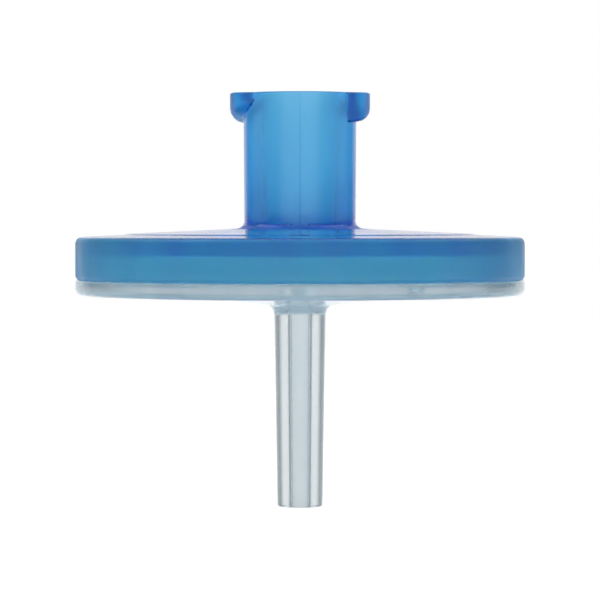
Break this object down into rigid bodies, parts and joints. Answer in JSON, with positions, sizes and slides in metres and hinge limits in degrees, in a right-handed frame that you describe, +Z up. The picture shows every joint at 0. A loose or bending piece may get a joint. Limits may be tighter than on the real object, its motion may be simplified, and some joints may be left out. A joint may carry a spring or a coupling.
{
  "type": "syringe filter",
  "caption": "Round disc filter for a syringe: a blue cover with a lugged inlet hub, welded to a pale plate with a straight outlet tube.",
  "frame": {"origin": "on the flow axis, in the plane of the outlet tube's tip", "axes": "+Z up the flow axis, from the outlet tube to the inlet; +X through the middle of the two thread lugs"},
  "size_m": [0.025, 0.025, 0.0231],
  "materials": {
    "blue_polypropylene": "moulded, translucent blue, satin gloss",
    "membrane": "cast porous film, matt white",
    "natural_polypropylene": "moulded, uncoloured and milky, satin gloss"
  },
  "bodies": {
    "root": {"inlet_housing": "blue_polypropylene", "membrane": "membrane", "outlet_housing": "natural_polypropylene"}
  },
  "joints": []
}
